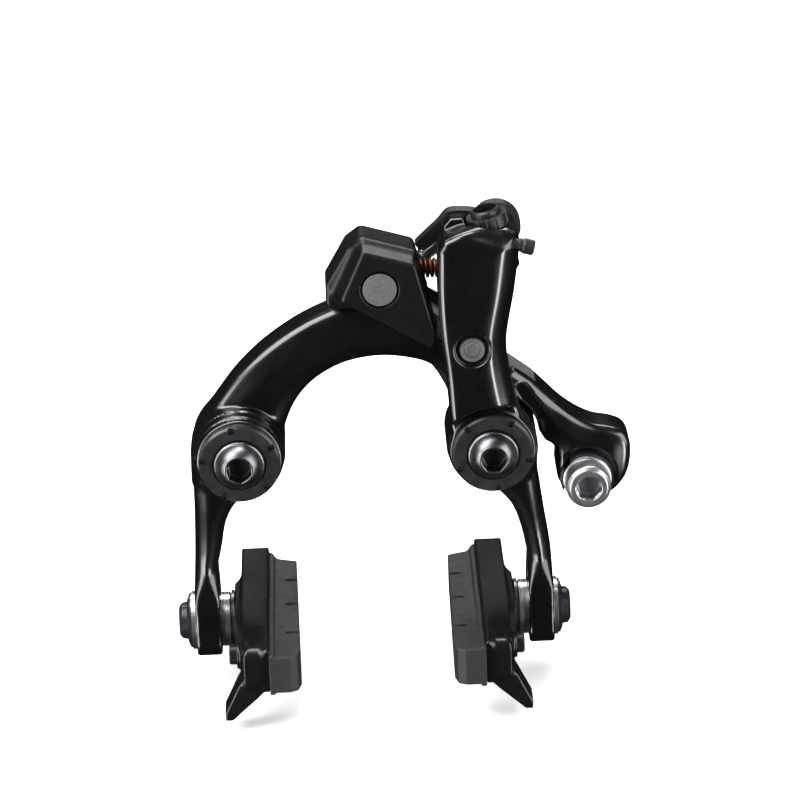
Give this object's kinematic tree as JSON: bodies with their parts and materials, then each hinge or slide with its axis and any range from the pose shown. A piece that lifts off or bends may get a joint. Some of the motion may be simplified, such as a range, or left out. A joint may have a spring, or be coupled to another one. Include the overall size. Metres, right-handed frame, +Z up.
{
  "type": "rim brake caliper",
  "caption": "Dual-pivot direct-mount rim brake caliper: two crossing arms squeeze cartridge shoes onto a wheel rim, returned by a coil spring.",
  "frame": {"origin": "midway between the two mounting bolt axes, on the mounting face", "axes": "+X right seen from the front, +Y into the fork or frame along the bolts, +Z up"},
  "size_m": [0.1029, 0.057, 0.1089],
  "materials": {
    "arm_black": "gloss black anodised",
    "cover_black": "satin black",
    "cap_black": "dark grey satin anodised",
    "holder_black": "satin black",
    "pad_rubber": "matte moulded",
    "steel_dark": "dark polished",
    "steel_bright": "satin",
    "steel_black": "black oxide",
    "spring_copper": "copper-coloured plating",
    "bushing_bronze": "plain bearing bronze",
    "washer_white": "low-friction plastic",
    "plate_steel": "black coated"
  },
  "bodies": {
    "base": {"stay_plate": "plate_steel", "pivot_sleeves": "steel_bright", "thrust_washers": "washer_white", "pivot_caps": "cap_black", "mounting_bolts": "steel_dark"},
    "left_arm": {"left_arm": "arm_black", "left_bushing": "bushing_bronze", "cam_plate": "steel_bright", "spring_housing": "cover_black", "housing_pin": "cap_black", "return_spring": "spring_copper", "cable_clamp_plate": "steel_dark", "cable_clamp_bolt": "steel_bright"},
    "tension_screw": {"spring_tension_screw": "steel_bright"},
    "right_arm": {"right_arm": "arm_black", "right_bushing": "bushing_bronze", "roller_pin": "cap_black", "pin_retaining_ring": "steel_black", "lever_pin": "steel_dark"},
    "cam_roller": {"cam_roller": "steel_bright"},
    "centering_screw": {"centering_screw": "steel_black"},
    "adjuster_barrel": {"adjuster_barrel": "steel_black"},
    "adjuster_knob": {"adjuster_knob": "cap_black"},
    "quick_release_lever": {"quick_release_lever": "cover_black"},
    "left_shoe_carrier": {"left_shoe_bolt": "steel_black", "left_outer_washer": "steel_bright", "left_dished_washer": "steel_black", "left_spacer": "steel_bright", "left_seat_washer": "steel_dark"},
    "left_shoe": {"left_shoe_holder": "holder_black", "left_brake_pad": "pad_rubber", "left_pad_screw": "steel_black"},
    "right_shoe_carrier": {"right_shoe_bolt": "steel_black", "right_outer_washer": "steel_bright", "right_dished_washer": "steel_black", "right_spacer": "steel_bright", "right_seat_washer": "steel_dark"},
    "right_shoe": {"right_shoe_holder": "holder_black", "right_brake_pad": "pad_rubber", "right_pad_screw": "steel_black"}
  },
  "joints": [
    {"name": "left_arm_pivot", "type": "hinge", "parent": "base", "child": "left_arm", "pos_m": [-0.028, 0, 0], "axis": [0, -1, 0], "range_deg": [0, 7], "deforming": ["return_spring"]},
    {"name": "right_arm_pivot", "type": "hinge", "parent": "base", "child": "right_arm", "pos_m": [0.028, 0, 0], "axis": [0, 1, 0], "range_deg": [0, 7]},
    {"name": "cam_roller_spin", "type": "hinge", "parent": "right_arm", "child": "cam_roller", "pos_m": [0.02394, -0.0066, 0.02505], "axis": [0, 1, 0], "continuous": true},
    {"name": "quick_release_swing", "type": "hinge", "parent": "right_arm", "child": "quick_release_lever", "pos_m": [0.0303, -0.0066, 0.0486], "axis": [0, 1, 0], "range_deg": [0, 100]},
    {"name": "adjuster_knob_turn", "type": "hinge", "parent": "right_arm", "child": "adjuster_knob", "pos_m": [0.0299, -0.0132, 0.045], "axis": [-0.2201, 0, 0.9755], "range_deg": [0, 1080]},
    {"name": "adjuster_barrel_lift", "type": "slide", "parent": "right_arm", "child": "adjuster_barrel", "axis": [-0.2201, 0, 0.9755], "range_m": [0, 0.0024]},
    {"name": "centering_screw_turn", "type": "hinge", "parent": "right_arm", "child": "centering_screw", "pos_m": [0.0343, -0.018, 0.0479], "axis": [0.96, 0, -0.28], "range_deg": [-180, 180]},
    {"name": "tension_screw_turn", "type": "hinge", "parent": "left_arm", "child": "tension_screw", "pos_m": [0.0102, -0.0036, 0.03705], "axis": [0.7668, 0, 0.6419], "range_deg": [-180, 180]},
    {"name": "left_shoe_height", "type": "slide", "parent": "left_arm", "child": "left_shoe_carrier", "axis": [0, 0, 1], "range_m": [0, 0.008]},
    {"name": "left_shoe_tilt", "type": "hinge", "parent": "left_shoe_carrier", "child": "left_shoe", "pos_m": [-0.0341, -0.01, -0.0424], "axis": [1, 0, 0], "range_deg": [-10, 10]},
    {"name": "right_shoe_height", "type": "slide", "parent": "right_arm", "child": "right_shoe_carrier", "axis": [0, 0, 1], "range_m": [0, 0.008]},
    {"name": "right_shoe_tilt", "type": "hinge", "parent": "right_shoe_carrier", "child": "right_shoe", "pos_m": [0.0354, -0.01, -0.0424], "axis": [1, 0, 0], "range_deg": [-10, 10]}
  ],
  "couplings": [
    {"joint": "right_arm_pivot", "follows": "left_arm_pivot", "ratio": 1},
    {"joint": "adjuster_knob_turn", "follows": "adjuster_barrel_lift", "rad_per_m": 7854}
  ]
}
